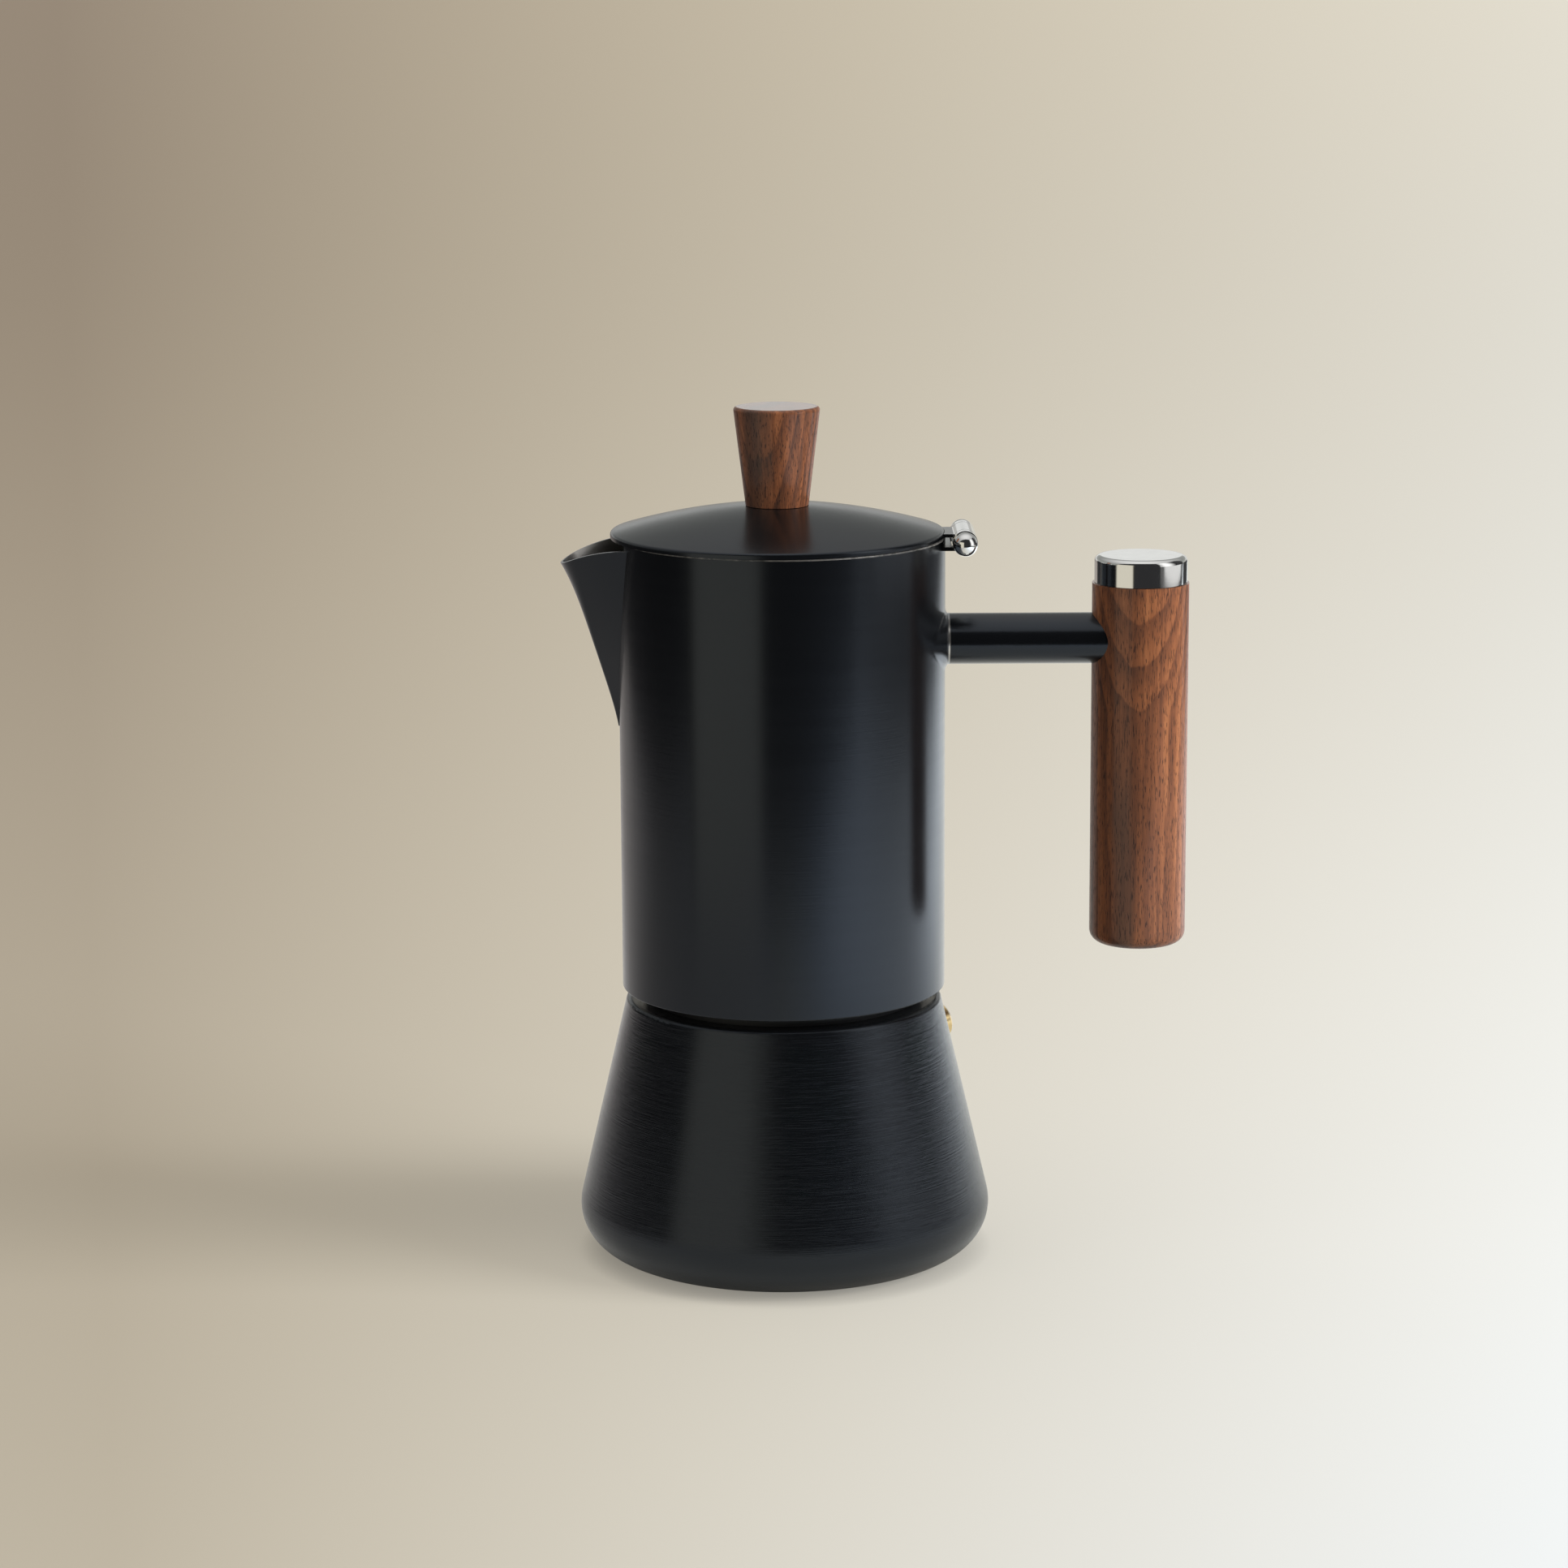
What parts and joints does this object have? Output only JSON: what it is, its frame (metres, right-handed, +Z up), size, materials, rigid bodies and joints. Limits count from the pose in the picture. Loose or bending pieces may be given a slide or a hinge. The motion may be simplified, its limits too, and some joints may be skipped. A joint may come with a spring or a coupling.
{
  "type": "stove-top moka pot",
  "caption": "Stove-top moka pot with flared boiler, straight chamber, V spout, hinged lid with tapered wooden knob, and a wooden side grip.",
  "frame": {"origin": "on the pot's axis, on the surface it stands on", "axes": "+Z up along the pot's axis, +X towards the handle, -X towards the spout, +Y towards the side of the safety valve"},
  "size_m": [0.1575, 0.1048, 0.2171],
  "materials": {
    "black_paint": "satin",
    "bare_steel": "brushed",
    "polished_steel": "polished",
    "walnut": "oiled satin",
    "brass": "satin",
    "silicone": "matt"
  },
  "bodies": {
    "base": {"boiler": "black_paint", "base_plate": "bare_steel", "boiler_neck": "bare_steel", "valve_body": "brass", "valve_seat": "brass", "valve_spring": "bare_steel", "valve_nut": "brass", "valve_washer": "brass"},
    "valve": {"valve_stem": "brass"},
    "funnel": {"funnel": "bare_steel", "basket_plate": "bare_steel"},
    "filter": {"gasket": "silicone", "filter_plate": "bare_steel"},
    "chamber": {"chamber": "black_paint", "chamber_collar": "bare_steel", "chamber_floor": "bare_steel", "coffee_column": "bare_steel", "spout": "black_paint", "hinge_bracket": "polished_steel", "hinge_pin": "polished_steel", "pin_balls": "polished_steel", "handle_tube": "black_paint", "handle_washer": "bare_steel", "handle_screw": "bare_steel", "grip": "walnut", "grip_rod": "bare_steel", "grip_cap": "polished_steel"},
    "lid": {"lid": "black_paint", "knob": "walnut", "knob_washer": "bare_steel", "knob_screw": "bare_steel", "hinge_leaf": "polished_steel"}
  },
  "joints": [
    {"name": "chamber_lift", "type": "slide", "parent": "base", "child": "filter", "axis": [0, 0, 1], "range_m": [0, 0.12]},
    {"name": "chamber_turn", "type": "hinge", "parent": "filter", "child": "chamber", "pos_m": [0, 0, 0.0698], "axis": [0, 0, 1], "range_deg": [0, 450]},
    {"name": "lid_swing", "type": "hinge", "parent": "chamber", "child": "lid", "pos_m": [0.0456, 0, 0.1838], "axis": [0, 1, 0], "range_deg": [0, 105]},
    {"name": "funnel_lift", "type": "slide", "parent": "base", "child": "funnel", "axis": [0, 0, 1], "range_m": [0, 0.09]},
    {"name": "valve_pop", "type": "slide", "parent": "base", "child": "valve", "axis": [0.7975, 0.5584, 0.2284], "range_m": [0, 0.002], "stiffness_N_per_m": 500, "springref_m": -0.002, "deforming": ["valve_spring"]}
  ],
  "couplings": [
    {"joint": "funnel_lift", "follows": "chamber_lift", "ratio": 0.75}
  ]
}
